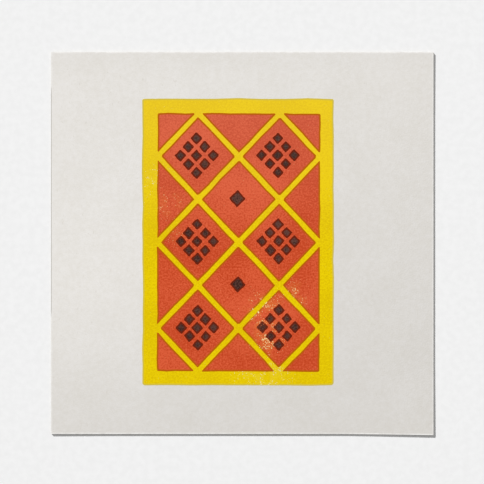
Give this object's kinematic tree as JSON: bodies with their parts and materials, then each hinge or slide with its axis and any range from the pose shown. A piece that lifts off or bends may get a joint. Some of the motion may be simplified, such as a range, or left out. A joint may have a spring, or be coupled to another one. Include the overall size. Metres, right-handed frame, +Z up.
{
  "type": "square art print",
  "caption": "Square sheet of heavy off-white cotton paper with a block-printed geometric panel in yellow, red-orange and dark brown; lies flat, blank back.",
  "frame": {"origin": "on the surface the sheet lies on, at the middle of its outline", "axes": "+Z up out of the printed face, +Y towards the print's top edge, +X towards its right edge"},
  "size_m": [0.2, 0.2004, 0.0011],
  "materials": {
    "cotton_paper": "matte",
    "yellow_ink": "satin",
    "red_orange_ink": "satin",
    "dark_brown_ink": "satin"
  },
  "bodies": {
    "root": {"paper_sheet": "cotton_paper"}
  },
  "joints": []
}
